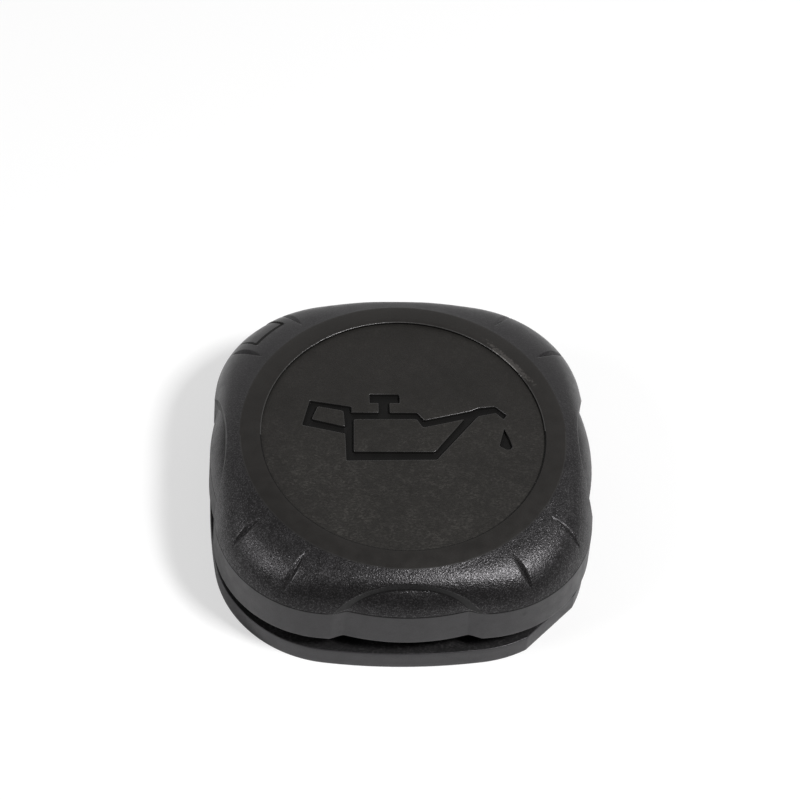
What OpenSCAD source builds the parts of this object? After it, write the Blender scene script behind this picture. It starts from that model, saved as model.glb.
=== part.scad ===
// Oil filler cap with a rounded-square grip, a base plate with a bayonet socket, and a sealing ring.
// Origin: centre of the plate's underside. +Z points up, -Y is the front, millimetres.

/* [Grip outline] */
// Width of the grip across its flats
grip_w = 72; // [66:0.5:84]
// Radius of the grip's corners
grip_corner_r = 21.7; // [19:0.1:25]
// Radius of the grip's slightly bowed sides
grip_side_r = 144; // [110:1:240]
// Height of the upright wall of the grip
wall_h = 8; // [7:0.1:12]
// How much the upright wall leans in from its rim to its top edge
wall_draft = 0.2; // [0.1:0.05:0.5]
// Rise of the domed shoulder from the wall to the flat land
dome_h = 7.8; // [6.5:0.05:9]
// Place of the shoulder's bend in from the wall, as a share of the shoulder's width
dome_in = 0.25; // [0.15:0.05:0.4]
// Place of the shoulder's bend up from the wall, as a share of the shoulder's height
dome_up = 0.9; // [0.75:0.05:0.95]
// Thickness of the grip's shell
shell_t = 2.2; // [1.8:0.1:2.6]

/* [Top face] */
// Outer radius of the flat land round the disc
land_r = 30.3; // [29:0.1:31.5]
// Width of the flat land
land_w = 3.85; // [2.5:0.05:5]
// Depth of the disc below the land
disc_d = 0.5; // [0.3:0.05:0.9]

/* [Finger scallops] */
// Width of a scallop along the wall
scallop_w = 28; // [22:0.5:30]
// How far a scallop reaches in from the side at its crown
scallop_in = 3.15; // [2.4:0.05:3.6]
// How far the arched face of a scallop leans back over its height
scallop_lean = 1.5; // [0.8:0.1:1.6]
// How far the floor of a scallop lies below the shoulder, at the land
scallop_drop = 1.5; // [1:0.1:2]
// Radius of the bowed wall inside a scallop, seen from above
scallop_wall_r = 40; // [37:0.5:60]
// How far the middle of a scallop's wall stands out past the side of the grip
scallop_proud = 0.15; // [0:0.05:0.3]
// Height up the shoulder where a scallop's arched face stops leaning, as a share
scallop_arch = 0.8; // [0.7:0.05:0.9]

/* [Shoulder marks] */
// Angle of each crease from the corner's middle
crease_angle = 9.8; // [8.5:0.1:12]
// Depth of a crease
crease_d = 0.7; // [0.4:0.05:1]
// Width of a crease at its middle
crease_w = 2; // [1.2:0.1:2.6]
// Radius of the wheel shape that forms a crease
crease_wheel_r = 20; // [14:1:30]
// Place of the creases on the shoulder: 0 is the wall, 1 is the land
crease_at = 0.5; // [0.44:0.01:0.56]
// Width of the blank marking pocket
pocket_w = 8; // [6:0.2:8.6]
// Length of the blank marking pocket, down the shoulder
pocket_l = 4.6; // [3:0.1:5.4]
// Depth of the blank marking pocket
pocket_d = 0.45; // [0.3:0.05:0.7]
// Place of the pocket on the shoulder: 0 is the wall, 1 is the land
pocket_at = 0.42; // [0.37:0.01:0.52]

/* [Base plate] */
// How far the sides of the base plate stay inside the sides of the grip
plate_in = 0.05; // [0:0.05:0.6]
// Radius of the base plate's corners
plate_corner_r = 23.5; // [20:0.1:26]
// Radius of the base plate's slightly bowed sides
plate_side_r = 110; // [90:1:240]
// Thickness of the base plate
plate_t = 4.4; // [4:0.05:6]
// Width of the flat that cuts the front right corner of the plate
corner_flat_w = 13.2; // [8:0.2:16]
// Thickness of the plate's top skin over its cored underside
plate_skin = 1.6; // [1.2:0.1:2.2]
// Thickness of the plate's outer rim
plate_rim = 2.2; // [1.6:0.1:3]
// Number of ribs under the plate
plate_ribs = 12; // [8:2:16]
// Thickness of all ribs
rib_t = 1.6; // [1.2:0.1:2]
// Open gap between the plate and the rim of the grip
grip_gap = 4.2; // [3:0.1:5.5]

/* [Socket] */
// Outer diameter, between its lugs, of the filler neck that the cap fits
neck_d = 42.6; // [41:0.1:43.5]
// How far the neck's own lugs stand out from it
neck_lug_out = 2.9; // [2.4:0.1:3.2]
// How far the neck's collar, which the mouth of the socket guides, stands out past its lugs
neck_collar_out = 0.6; // [0.3:0.1:1]
// Wall thickness of the neck's rim, which the beads of the seal press on
neck_wall = 2.4; // [2:0.1:3]
// Clearance of the socket round the neck, on the radius
neck_clear = 0.2; // [0.1:0.05:0.3]
// Depth of the socket's mouth
mouth_h = 5; // [4:0.1:6]
// Chamfer at the socket's mouth
mouth_chamfer = 0.6; // [0.3:0.1:1]
// Wall thickness of the socket round its mouth
sleeve_t = 2; // [1.6:0.1:2.4]
// Thickness of the socket's closed end
crown_t = 2; // [1.6:0.1:2.6]
// Height of the webs that seat the grip on the socket's closed end
web_h = 2.4; // [1.6:0.1:3]

/* [Bayonet] */
// Number of bayonet lugs
lug_n = 3; // [2:1:4]
// Angle that each lug spans
lug_span = 40; // [30:1:50]
// Height of a lug at its thick end
lug_h = 3.4; // [2.8:0.1:4]
// Slope of the ramp on a lug, in degrees
lug_slope = 4; // [2:0.5:6]
// Height of the stop above a lug
stop_h = 3; // [2:0.1:3.6]
// Thickness of the stop at its root
stop_w = 2.2; // [1.8:0.1:3]
// Turn of the first lug from the right side of the cap
lug_turn = 90; // [0:5:115]

/* [Seal] */
// Thickness of the sealing ring
seal_t = 3; // [2.4:0.1:3.6]
// Width of the sealing ring's flat
seal_w = 6.3; // [5.5:0.1:7]
// Height of each sealing bead
bead_h = 0.5; // [0.3:0.05:0.6]
// Radius of each sealing bead
bead_r = 0.6; // [0.6:0.05:0.8]
// Distance between the two sealing beads
bead_step = 1.3; // [1.2:0.1:1.6]
// Wall thickness of the spigot that centres the ring
spigot_t = 2; // [1.4:0.1:2.6]
// Clearance of the ring in its seat, on the radius
seal_clear = 0.1; // [0.05:0.05:0.2]
// Height of the lip that keeps the ring on its spigot
lip_h = 1; // [0.6:0.1:1.2]
// How far the lip stands out under the ring
lip_out = 0.3; // [0.2:0.05:0.5]

/* [Snap fit] */
// Number of snap wedges between the grip and the socket
snap_n = 4; // [3:1:6]
// Width of a snap wedge
snap_w = 9; // [6:0.5:11]
// Height of a snap wedge
snap_h = 3; // [2:0.1:3.4]
// How far a snap wedge stands out
snap_out = 1.1; // [0.8:0.1:1.4]
// Height of the snap wedges' flat faces above the grip's rim
snap_up = 4; // [3:0.1:5]
// Width of the keys that carry the turning force
key_w = 3; // [2:0.1:4]
// Wall thickness of the grip's inner collar
collar_t = 1.8; // [1.4:0.1:2.2]
// Height of the collar's lower edge above the grip's rim
collar_up = 1; // [0.5:0.1:2]
// Height of the ribs' lower edge above the grip's rim
rib_up = 2; // [1:0.1:4]
// Sliding clearance between the collar and the socket
snap_clear = 0.15; // [0.1:0.05:0.25]

/* [Hidden] */
ring_n = 96;
dome_steps = 8;
round_fn = 96;
side_fn = 360;
small_fn = 48;
over = 1;
leaf = 0.01;

half_w = grip_w / 2;
plate_w = grip_w - 2 * plate_in;
rim_z = plate_t + grip_gap;
wall_z = rim_z + wall_h;
top_z = wall_z + dome_h;
disc_r = land_r - land_w;
disc_z = top_z - disc_d;
ceiling_z = disc_z - shell_t;
seat_z = ceiling_z - web_h;
crown_z = seat_z - crown_t;

lug_r = neck_d / 2 + neck_clear;
chamber_r = lug_r + neck_lug_out;
mouth_r = chamber_r + neck_collar_out;
sleeve_r = mouth_r + sleeve_t;
collar_r = sleeve_r + snap_clear;
collar_out_r = collar_r + collar_t;
snap_z = rim_z + snap_up;

seal_out_r = chamber_r - seal_clear;
seal_in_r = seal_out_r - seal_w;
spigot_r = seal_in_r - seal_clear;
seal_low_z = crown_z - seal_t;

// Centre distance, along both axes, of a corner arc that runs into the bowed sides
function corner_c(a, side_r, corner_r) =
    let (k = side_r - a) (sqrt(2 * pow(side_r - corner_r, 2) - k * k) - k) / 2;

// Angle at a bowed side's own centre where its arc runs into the corner arc
function side_angle(a, side_r, corner_r) =
    let (c = corner_c(a, side_r, corner_r)) atan2(c, c + side_r - a);

// Angle from the middle of the nearest side
function off_side(th) = abs((th + 45) % 90 - 45);

// Radius of a square with bowed sides at an angle
function bowed_r(th, a, side_r) =
    let (t = off_side(th), k = side_r - a)
    sqrt(side_r * side_r - pow(k * sin(t), 2)) - k * cos(t);

// Radius of a bowed square with round corners at an angle
function outline_r(th, a, side_r, corner_r) =
    let (t = off_side(th), c = corner_c(a, side_r, corner_r))
    let (turn = side_angle(a, side_r, corner_r))
    let (split = atan2(side_r * sin(turn), side_r * cos(turn) - side_r + a))
    t < split ? bowed_r(th, a, side_r)
    : c * (cos(t) + sin(t)) + sqrt(corner_r * corner_r - pow(c * (cos(t) - sin(t)), 2));

// Radius of the grip at an angle, moved in by an inset
function grip_r(th, inset) =
    outline_r(th, half_w - inset, grip_side_r - inset, grip_corner_r - inset);

// Radius of the wall inside a scallop at an angle, moved in by an inset
function scallop_r(th, inset) =
    bowed_r(th, half_w + scallop_proud - inset, scallop_wall_r - inset);

// Radius of the grip's hollow, which follows the wall and steps in behind each scallop
function hollow_r(th, inset) =
    off_side(th) < atan(scallop_w / grip_w) ? scallop_r(th, inset) : grip_r(th, inset);

function curve(p0, p1, p2, s) = (1 - s) * (1 - s) * p0 + 2 * s * (1 - s) * p1 + s * s * p2;
function slope(p0, p1, p2, s) = 2 * (1 - s) * (p1 - p0) + 2 * s * (p2 - p1);
function part_way(p0, p2, share) = p0 + share * (p2 - p0);

// Point [radius, height] of the shoulder between the wall's top edge and the land
function shoulder(edge_r, s, land = land_r, low = wall_z, high = top_z) =
    [curve(edge_r, part_way(edge_r, land, dome_in), land, s),
     curve(low, part_way(low, high, dome_up), high, s)];

// Direction [radius, height] of the shoulder's slope at the same point
function shoulder_dir(edge_r, s) =
    [slope(edge_r, part_way(edge_r, land_r, dome_in), land_r, s),
     slope(wall_z, part_way(wall_z, top_z, dome_up), top_z, s)];

function ring_angle(i) = 360 * i / ring_n;
function ring_point(i, p) = [p[0] * cos(ring_angle(i)), p[0] * sin(ring_angle(i)), p[1]];
function turns() = [for (i = [0 : ring_n - 1]) i];

// Closed body: an upright wall between two outlines, and a shoulder up to a round land
module domed_body(low_r, high_r, land, z0, z1, z2) {
    foot = [for (i = turns()) ring_point(i, [low_r[i], z0])];
    dome = [for (k = [0 : dome_steps], i = turns())
        ring_point(i, shoulder(high_r[i], k / dome_steps, land, z1, z2))];
    rings = dome_steps + 2;
    side_faces = [for (k = [0 : rings - 2], i = turns())
        let (j = (i + 1) % ring_n, a = k * ring_n + i, b = k * ring_n + j)
        each [[a, a + ring_n, b + ring_n], [a, b + ring_n, b]]];
    top_face = [for (i = turns()) rings * ring_n - 1 - i];
    polyhedron(concat(foot, dome), concat(side_faces, [turns(), top_face]));
}

// Flat form of a bowed square with round corners
module bowed_square(a, side_r, corner_r) {
    c = corner_c(a, side_r, corner_r);
    span = 2 * side_r * sin(side_angle(a, side_r, corner_r));
    intersection() {
        union() {
            square([2 * side_r, span], center = true);
            square([span, 2 * side_r], center = true);
        }
        intersection_for (i = [0 : 3])
            rotate(90 * i) translate([a - side_r, 0]) circle(side_r, $fn = side_fn);
    }
    for (x = [-c, c], y = [-c, c]) translate([x, y]) circle(corner_r, $fn = round_fn);
}

// Outer form of the grip before anything is cut from it
module grip_form() {
    low = [for (i = turns()) grip_r(ring_angle(i), 0)];
    high = [for (i = turns()) grip_r(ring_angle(i), wall_draft)];
    domed_body(low, high, land_r, rim_z, wall_z, top_z);
}

// Lower dome that forms the floors of the scallops
module scallop_floor() {
    low = [for (i = turns()) scallop_r(ring_angle(i), 0)];
    high = [for (i = turns()) scallop_r(ring_angle(i), wall_draft)];
    domed_body(low, high, land_r, rim_z, wall_z, top_z - scallop_drop);
}

// Cutter for one scallop, at the front
module scallop_cut() {
    crown_y = half_w - scallop_in;
    edge_y = half_w - grip_side_r + sqrt(pow(grip_side_r, 2) - pow(scallop_w / 2, 2));
    sag = edge_y - crown_y;
    cut_r = (pow(scallop_w / 2, 2) + sag * sag) / (2 * sag);
    arch_z = wall_z + scallop_arch * dome_h;
    module crown_plan() {
        translate([0, -crown_y - cut_r]) circle(cut_r, $fn = 2 * round_fn);
    }
    module wall_plan() {
        intersection() {
            crown_plan();
            translate([-half_w, -crown_y - scallop_lean - 2 * cut_r]) square([grip_w, 2 * cut_r]);
        }
    }
    translate([0, 0, rim_z - over]) linear_extrude(wall_h + over + leaf) wall_plan();
    hull() {
        translate([0, 0, wall_z]) linear_extrude(leaf) wall_plan();
        translate([0, 0, arch_z]) linear_extrude(top_z - arch_z + over) crown_plan();
    }
}

// Crease across the shoulder, cut by a thin wheel that rolls down the slope
module crease_cut(angle) {
    edge_r = grip_r(angle, wall_draft);
    at = shoulder(edge_r, crease_at);
    dir = shoulder_dir(edge_r, crease_at);
    out = [dir[1], -dir[0]] / norm(dir);
    hub = at + out * (crease_wheel_r - crease_d);
    foot_r = crease_wheel_r - 2 * crease_d;
    rotate([0, 0, angle]) translate([hub[0], 0, hub[1]]) rotate([90, 0, 0])
        rotate_extrude($fn = round_fn)
            polygon([[crease_wheel_r, 0], [foot_r, crease_w], [foot_r, -crease_w]]);
}

// Blank rectangular pocket on the shoulder of the back left corner
module pocket_cut() {
    edge_r = grip_r(135, wall_draft);
    at = shoulder(edge_r, pocket_at);
    dir = shoulder_dir(edge_r, pocket_at);
    tilt = atan2(dir[1], -dir[0]);
    rotate([0, 0, 135]) translate([at[0], 0, at[1]]) rotate([0, tilt, 0])
        translate([0, 0, over - pocket_d]) cube([pocket_l, pocket_w, 2 * over], center = true);
}

// Inner collar of the grip, with windows for the wedges and slots for the keys
module grip_collar() {
    low_z = rim_z + collar_up;
    difference() {
        translate([0, 0, low_z]) cylinder(r = collar_out_r, h = top_z - low_z, $fn = round_fn);
        translate([0, 0, low_z - over]) cylinder(r = collar_r, h = top_z, $fn = round_fn);
        for (i = [0 : snap_n - 1]) rotate([0, 0, 45 + 360 * i / snap_n])
            translate([collar_r - over, -snap_w / 2 - snap_clear, snap_z - snap_clear])
                cube([collar_t + 2 * over, snap_w + 2 * snap_clear, snap_h + 2 * snap_clear]);
        for (i = [0 : snap_n - 1]) rotate([0, 0, 45 + 360 * (i + 0.5) / snap_n])
            translate([collar_r - over, -key_w / 2 - snap_clear, low_z - over])
                cube([collar_t + 2 * over, key_w + 2 * snap_clear, snap_z + snap_h - low_z + over]);
    }
}

// Webs that stand inside the grip: the collar, its seat and the ribs out to the wall
module grip_webs() {
    grip_collar();
    for (i = [0 : 2]) rotate([0, 0, 60 * i])
        translate([-collar_r - collar_t / 2, -rib_t / 2, seat_z])
            cube([2 * collar_r + collar_t, rib_t, top_z - seat_z]);
    for (i = [0 : 7]) rotate([0, 0, 22.5 + 45 * i])
        translate([collar_r + collar_t / 2, -rib_t / 2, rim_z + rib_up])
            cube([half_w, rib_t, top_z]);
}

// Hollow of the grip, a shell's thickness inside its walls
module grip_hollow() {
    low = [for (i = turns()) hollow_r(ring_angle(i), shell_t)];
    high = [for (i = turns()) hollow_r(ring_angle(i), shell_t + wall_draft)];
    domed_body(low, high, land_r - shell_t, rim_z - over, wall_z - shell_t / 2, ceiling_z);
}

module grip() {
    color([0.13, 0.13, 0.14])
    difference() {
        union() {
            difference() {
                grip_form();
                for (i = [0 : 3]) rotate([0, 0, 90 * i]) scallop_cut();
                for (i = [0 : 3], side = [-1, 1]) crease_cut(45 + 90 * i + side * crease_angle);
                pocket_cut();
            }
            scallop_floor();
        }
        translate([0, 0, disc_z]) cylinder(r = disc_r, h = disc_d + over, $fn = round_fn);
        difference() {
            grip_hollow();
            grip_webs();
        }
    }
}

// Outline of the base plate, with one corner cut by a flat, moved in by an inset
module plate_outline(inset) {
    a = plate_w / 2;
    cut = corner_c(a, plate_side_r, plate_corner_r) * sqrt(2)
        + sqrt(pow(plate_corner_r, 2) - pow(corner_flat_w / 2, 2)) - inset;
    difference() {
        bowed_square(a - inset, plate_side_r - inset, plate_corner_r - inset);
        rotate(-45) translate([cut, -plate_w / 2]) square([plate_w, plate_w]);
    }
}

// Recesses that core out the underside of the plate between its ribs
module plate_coring() {
    translate([0, 0, -over]) linear_extrude(plate_t - plate_skin + over) difference() {
        plate_outline(plate_rim);
        circle(sleeve_r, $fn = round_fn);
        for (i = [0 : plate_ribs - 1]) rotate(360 * (i + 0.5) / plate_ribs)
            translate([0, -rib_t / 2]) square([plate_w, rib_t]);
    }
}

// Wedges and keys on the outside of the socket that hold the grip
module snap_features() {
    for (i = [0 : snap_n - 1]) rotate([0, 0, 45 + 360 * i / snap_n])
        translate([0, snap_w / 2, snap_z]) rotate([90, 0, 0]) linear_extrude(snap_w)
            polygon([[sleeve_r - over, 0], [sleeve_r + snap_out, 0],
                [sleeve_r + snap_out, snap_h / 4], [sleeve_r - over, snap_h]]);
    for (i = [0 : snap_n - 1]) rotate([0, 0, 45 + 360 * (i + 0.5) / snap_n])
        translate([sleeve_r - over, -key_w / 2, plate_t / 2])
            cube([over + snap_out, key_w, snap_z + snap_h / 2 - plate_t / 2]);
}

// One bayonet lug: a block cut down to its ramp, up to the stop that ends the turn
module bayonet_lug() {
    root_r = (chamber_r + mouth_r) / 2;
    stop_y = chamber_r * sin(lug_span / 2) - stop_w;
    full_h = lug_h + stop_h;
    low_h = lug_h - (root_r + stop_y) * tan(lug_slope);
    translate([0, 0, mouth_h]) difference() {
        rotate([0, 0, -lug_span / 2]) rotate_extrude(angle = lug_span, $fn = round_fn)
            translate([lug_r, 0]) square([root_r - lug_r, full_h]);
        rotate([90, 0, 90]) linear_extrude(2 * root_r)
            polygon([[-root_r, low_h], [stop_y, lug_h], [stop_y, full_h + over],
                [-root_r, full_h + over]]);
    }
}

// Short ring under the closed end that centres the seal, with a lip that keeps it in
module seal_spigot() {
    bead_z = seal_low_z - bead_h;
    in_r = spigot_r - spigot_t;
    rotate_extrude($fn = round_fn)
        polygon([[in_r, bead_z - lip_h], [spigot_r, bead_z - lip_h],
            [spigot_r + seal_clear + lip_out, bead_z], [spigot_r, bead_z],
            [spigot_r, crown_z + over], [in_r, crown_z + over]]);
}

module carrier() {
    color([0.16, 0.16, 0.17]) {
        difference() {
            union() {
                linear_extrude(plate_t) plate_outline(0);
                cylinder(r = sleeve_r, h = seat_z, $fn = round_fn);
                snap_features();
            }
            plate_coring();
            translate([0, 0, -over]) cylinder(r = mouth_r, h = mouth_h + over, $fn = round_fn);
            cylinder(r = chamber_r, h = crown_z, $fn = round_fn);
            translate([0, 0, -leaf]) cylinder(r1 = mouth_r + mouth_chamfer + leaf,
                r2 = mouth_r, h = mouth_chamfer + leaf, $fn = round_fn);
        }
        for (i = [0 : lug_n - 1]) rotate([0, 0, 360 * i / lug_n + lug_turn]) bayonet_lug();
        seal_spigot();
    }
}

// Rubber ring with two raised beads that the rim of the neck presses into
module seal_ring() {
    rim_r = (neck_d - neck_wall) / 2;
    color([0.05, 0.05, 0.05]) rotate_extrude($fn = round_fn) {
        translate([seal_in_r, seal_low_z]) square([seal_w, seal_t]);
        for (side = [-1, 1])
            translate([rim_r + side * bead_step / 2, seal_low_z + bead_r - bead_h])
                circle(bead_r, $fn = small_fn);
    }
}

grip();
carrier();
seal_ring();
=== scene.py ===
import math

import bmesh
import bpy
import numpy as np
from mathutils import Matrix, Vector, geometry


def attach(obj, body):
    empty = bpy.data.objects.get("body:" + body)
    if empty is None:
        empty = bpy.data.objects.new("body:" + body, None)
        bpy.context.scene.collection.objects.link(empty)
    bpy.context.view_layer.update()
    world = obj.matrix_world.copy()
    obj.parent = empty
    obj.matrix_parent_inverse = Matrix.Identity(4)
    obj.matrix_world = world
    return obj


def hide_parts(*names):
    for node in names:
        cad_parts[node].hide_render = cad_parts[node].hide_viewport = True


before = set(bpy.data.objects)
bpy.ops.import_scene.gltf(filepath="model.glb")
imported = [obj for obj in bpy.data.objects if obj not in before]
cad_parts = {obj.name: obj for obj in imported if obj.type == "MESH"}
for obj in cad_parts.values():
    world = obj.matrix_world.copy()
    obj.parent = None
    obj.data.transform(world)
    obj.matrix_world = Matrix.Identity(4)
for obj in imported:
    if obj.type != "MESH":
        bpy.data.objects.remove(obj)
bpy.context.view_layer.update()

# The grip is one black moulding of glass-filled nylon. A domed shoulder runs from an upright wall up to a
# flat band round a sunk disc, and its outline is a square with bowed sides and round corners.
MM = 0.001
grip_half, grip_corner, grip_side = 36.0, 21.7, 144.0
rim_z, wall_z, top_z = 8.6, 16.6, 24.4
draft, land_r, disc_r, disc_z = 0.2, 30.3, 26.45, 23.9
shell, ceiling_z, ceiling_foot = 2.2, 21.7, wall_z - 1.1
dome_in, dome_up = 0.25, 0.9


def off_side(th):
    return np.abs((th + 45.0) % 90.0 - 45.0)


def bowed(th, half, side):
    t = np.radians(off_side(th))
    k = side - half
    return np.sqrt(side**2 - (k * np.sin(t)) ** 2) - k * np.cos(t)


def outline(th, half, side, corner):
    t = np.radians(off_side(th))
    k = side - half
    c = (math.sqrt(2 * (side - corner) ** 2 - k * k) - k) / 2
    turn = math.atan2(c, c + k)
    split = math.atan2(side * math.sin(turn), side * math.cos(turn) - k)
    across = np.clip(corner**2 - (c * (np.cos(t) - np.sin(t))) ** 2, 0, None)
    return np.where(t < split, bowed(th, half, side), c * (np.cos(t) + np.sin(t)) + np.sqrt(across))


def soft_min(a, b, reach):
    h = np.clip(reach - np.abs(a - b), 0, None) / reach
    return np.minimum(a, b) - h * h * reach / 4


def soft_max(a, b, reach):
    return -soft_min(-a, -b, reach)


def bend(share, s):
    return 2 * share * s * (1 - s) + s * s


def dome(edge, s, high):
    return edge - (edge - land_r) * bend(dome_in, s), wall_z + (high - wall_z) * bend(dome_up, s)


def dome_share(edge, r):
    x = np.clip((edge - r) / (edge - land_r), 0, 1)
    return (np.sqrt(dome_in**2 + (1 - 2 * dome_in) * x) - dome_in) / (1 - 2 * dome_in)


# Four finger scallops are cut into the sides. Each has an arched face that leans back, a floor that is a
# lower copy of the shoulder, and a bowed wall that comes out flush with the side at its middle.
scallop_half, scallop_crown, scallop_lean, scallop_side, scallop_top = 14.0, 32.85, 1.5, 40.0, 22.9
scallop_reach = grip_half + 0.15
arch_z = wall_z + 0.8 * (top_z - wall_z)
side_at_corner = grip_half - grip_side + math.sqrt(grip_side**2 - scallop_half**2)
sag = side_at_corner - scallop_crown
cut_r = (scallop_half**2 + sag**2) / (2 * sag)
chord_half = math.sqrt(cut_r**2 - (cut_r - scallop_lean) ** 2)
scallop_out = math.degrees(math.atan2(scallop_half, side_at_corner))


def cut_height(across, out):
    p = scallop_crown + cut_r - out
    flat = (out - scallop_crown) / scallop_lean
    under = 2 * (np.abs(across) * chord_half + p * (cut_r - scallop_lean) - cut_r**2)
    cone = (across**2 + p**2 - cut_r**2) / np.where(np.abs(under) < 1e-9, -1e-9, under)
    share = np.where(np.abs(across) <= flat * chord_half, flat, cone)
    z = np.where(share > 1, -1000.0, wall_z + (1 - share) * (arch_z - wall_z))
    return np.where(across**2 + p**2 < cut_r**2, z, 1000.0)


def scallop_entry(th):
    t = np.radians(off_side(th))
    d = scallop_crown + cut_r
    root = d * d * np.cos(t) ** 2 - d * d + cut_r**2
    circle = np.where(root > 0, d * np.cos(t) - np.sqrt(np.clip(root, 0, None)), 1000.0)
    return np.maximum(circle, (scallop_crown + scallop_lean) / np.cos(t))


# The mesh of the grip is laid in columns round its axis and rows down its section. Columns crowd together
# at the scallops' corners, at the creases and at the pocket, and every bend of the section is rounded.
crease_turn, crease_d, crease_w, crease_l, crease_at = 9.8, 0.5, 1.15, 8.0, 0.53
pocket_turn, pocket_w, pocket_up, pocket_down, pocket_d, pocket_at = 135.0, 7.7, 3.0, 4.2, 0.28, 0.42

floor_tip, pocket_end, least_step = 18.2, 5.75, 0.07
stops = [np.arange(0, 360, 1.0)]
for side in range(4):
    for sign in (-1, 1):
        stops.append(90 * side + sign * (scallop_out + np.linspace(-0.7, 0.7, 14)))
        stops.append(90 * side + sign * (floor_tip + np.linspace(-0.7, 0.7, 12)))
        stops.append(45 + 90 * side + sign * crease_turn + np.linspace(-2.4, 2.4, 25))
for sign in (-1, 1):
    stops.append(pocket_turn + sign * (pocket_end + np.linspace(-0.85, 0.85, 17)))
stops = np.sort(np.concatenate(stops) % 360)
columns = [stops[0]]
for stop in stops[1:]:
    if stop - columns[-1] > least_step:
        columns.append(stop)
columns = np.array(columns)
phi = (columns + 45) % 90 - 45

edge = outline(columns, grip_half - draft, grip_side - draft, grip_corner - draft)
foot = outline(columns, grip_half, grip_side, grip_corner)
entry = scallop_entry(columns)
in_scallop = np.abs(phi) < scallop_out
near_scallop = np.abs(phi) < scallop_out + 2
wall_top = np.where(near_scallop, soft_max(
    bowed(columns, scallop_reach - draft, scallop_side - draft), soft_min(edge, entry, 0.15), 0.15), edge)
wall_foot = np.where(near_scallop, soft_max(
    bowed(columns, scallop_reach, scallop_side), soft_min(foot, entry, 0.15), 0.15), foot)
beyond = np.clip((np.abs(phi) - scallop_out) / 3.0, 0, 1)
top_share = 0.12 * beyond * beyond * (3 - 2 * beyond)

search = 900
arch = np.zeros((2, len(columns)))
lower = np.zeros((2, len(columns)))
floor_share = np.full(len(columns), -1.0)
for i in range(len(columns)):
    if not in_scallop[i]:
        arch[:, i] = dome(edge[i], top_share[i], top_z)
        lower[:, i] = arch[:, i]
        continue
    r = np.linspace(land_r, edge[i], search)
    t = math.radians(phi[i])
    gap = dome(edge[i], dome_share(edge[i], r), top_z)[1] - cut_height(r * math.sin(t), r * math.cos(t))
    k = int(np.argmax(gap > 0)) if gap.max() > 0 else len(r) - 1
    share = gap[k - 1] / (gap[k - 1] - gap[k]) if gap[k] > 0 and abs(gap[k - 1]) < 100 else 1.0
    a = r[k - 1] + share * (r[k] - r[k - 1])
    arch[:, i] = a, dome(edge[i], dome_share(edge[i], a), top_z)[1]
    r = np.linspace(a, wall_top[i], search)
    below = np.minimum(cut_height(r * math.sin(t), r * math.cos(t)), arch[1, i])
    rise = dome(wall_top[i], dome_share(wall_top[i], r), scallop_top)[1] - below
    k = int(np.argmax(rise > 0))
    if rise[k] > 0 and 0 < k < search - 10:
        b = r[k - 1] + rise[k - 1] / (rise[k - 1] - rise[k]) * (r[k] - r[k - 1])
        floor_share[i] = dome_share(wall_top[i], b)
        lower[:, i] = dome(wall_top[i], floor_share[i], scallop_top)
    else:
        lower[:, i] = arch[:, i] + 0.75 * (np.array([wall_top[i], wall_z]) - arch[:, i])


def straight(p, q):
    return lambda t: (p[0] + t * (q[0] - p[0]), p[1] + t * (q[1] - p[1]))


def at(r, z):
    return np.full(len(columns), r) if np.isscalar(r) else r, np.full(len(columns), z)


arch_share = dome_share(edge, arch[0])


def slope_line(t):
    return dome(edge, 1 + t * (arch_share - 1), top_z)


def lower_line(t):
    on_dome = dome(edge, top_share * (1 - t), top_z)
    on_floor = dome(wall_top, floor_share * (1 - t), scallop_top)
    on_face = straight(lower, (wall_top, np.full(len(columns), wall_z)))(t)
    return [np.where(~in_scallop, on_dome[j], np.where(floor_share >= 0, on_floor[j], on_face[j])) for j in (0, 1)]


def ceiling_line(t):
    rise = (ceiling_z - ceiling_foot) * bend(dome_up, t)
    return wall_top - shell - (wall_top - land_r) * bend(dome_in, t), np.full_like(wall_top, ceiling_foot) + rise


lines = [
    ("disc wall", straight(at(disc_r, disc_z), at(disc_r, top_z)), 1),
    ("band", straight(at(disc_r, top_z), at(land_r, top_z)), 3),
    ("shoulder", slope_line, 46),
    ("arch", straight(arch, lower), 4),
    ("lower", lower_line, 8),
    ("wall", straight((wall_top, np.full(len(columns), wall_z)), at(wall_foot, rim_z)), 7),
    ("rim", straight(at(wall_foot, rim_z), at(wall_foot - shell, rim_z)), 2),
    ("inner wall", straight(at(wall_foot - shell, rim_z), at(wall_top - shell, ceiling_foot)), 2),
    ("ceiling", ceiling_line, 6),
]
round_at = [0.2, 0.15, 0.15, 0.2, 0.2, 0.28, 0.2, 0.3]
crowding = 0.09


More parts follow.
